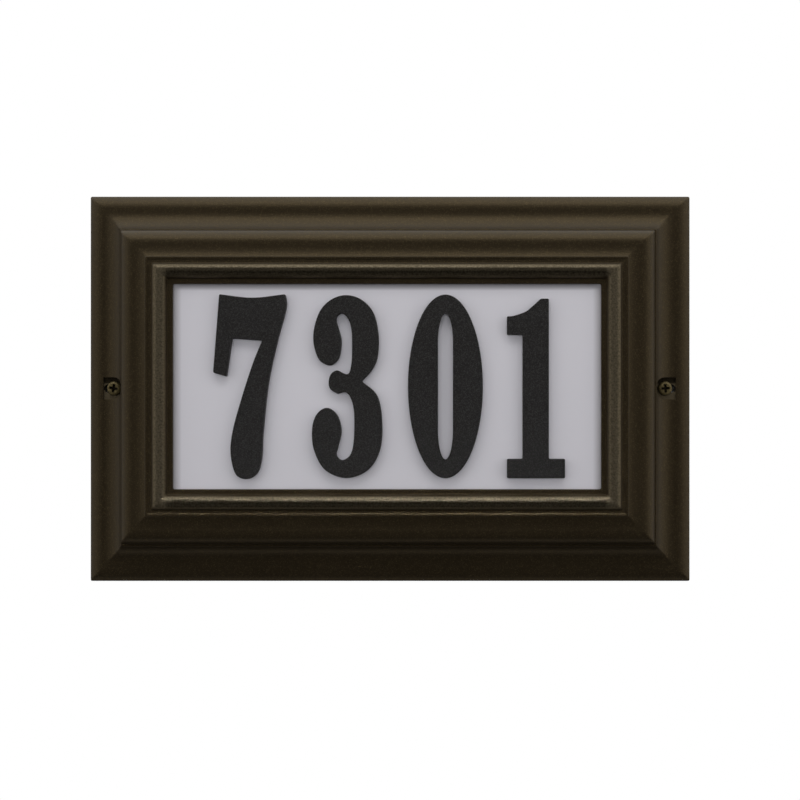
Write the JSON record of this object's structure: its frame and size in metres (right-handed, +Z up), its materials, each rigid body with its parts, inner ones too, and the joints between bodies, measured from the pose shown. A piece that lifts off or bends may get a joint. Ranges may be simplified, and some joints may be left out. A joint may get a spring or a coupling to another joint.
{
  "type": "lighted house number plaque",
  "caption": "Lighted house-number wall plaque: moulded cast frame around an opal panel with raised numerals, screwed over a back plate.",
  "frame": {"origin": "middle of the rectangle of four wall-screw holes, on the back plate's wall face", "axes": "+X to the viewer's right along the plaque, +Z up the wall, +Y into the wall; the numerals face -Y"},
  "size_m": [0.345, 0.038, 0.2214],
  "materials": {
    "bronze_powder_coat": "satin metallic powder coat",
    "opal_acrylic": "satin opal",
    "numeral_black": "fine textured black",
    "painted_screw": "painted to match the frame",
    "plated_steel": "zinc plated",
    "mill_aluminium": "mill finish",
    "foam": "closed-cell foam",
    "grommet_rubber": "moulded rubber",
    "white_board": "white solder mask",
    "led_plastic": "clear lens over phosphor",
    "white_nylon": "moulded nylon",
    "terminal_green": "moulded"
  },
  "bodies": {
    "root": {"frame": "bronze_powder_coat", "face_panel": "opal_acrylic", "panel_seal": "foam", "numeral_7": "numeral_black", "numeral_3": "numeral_black", "numeral_0": "numeral_black", "numeral_1": "numeral_black", "numeral_tape_7": "foam", "numeral_tape_3": "foam", "numeral_tape_0": "foam", "numeral_tape_1": "foam", "cover_screw_left": "painted_screw", "cover_screw_right": "painted_screw", "cover_standoff_left": "plated_steel", "cover_standoff_right": "plated_steel", "panel_clip_1": "plated_steel", "panel_clip_2": "plated_steel", "panel_clip_3": "plated_steel", "panel_clip_4": "plated_steel", "panel_clip_5": "plated_steel", "panel_clip_6": "plated_steel", "clip_screw_1": "plated_steel", "clip_screw_2": "plated_steel", "clip_screw_3": "plated_steel", "clip_screw_4": "plated_steel", "clip_screw_5": "plated_steel", "clip_screw_6": "plated_steel", "back_plate": "mill_aluminium", "wall_seal": "foam", "wire_grommet": "grommet_rubber", "light_board": "white_board", "led_grid": "led_plastic", "board_spacer_1": "white_nylon", "board_spacer_2": "white_nylon", "board_spacer_3": "white_nylon", "board_spacer_4": "white_nylon", "board_screw_1": "plated_steel", "board_screw_2": "plated_steel", "board_screw_3": "plated_steel", "board_screw_4": "plated_steel", "terminal_block": "terminal_green", "terminal_screws": "plated_steel"}
  },
  "joints": []
}
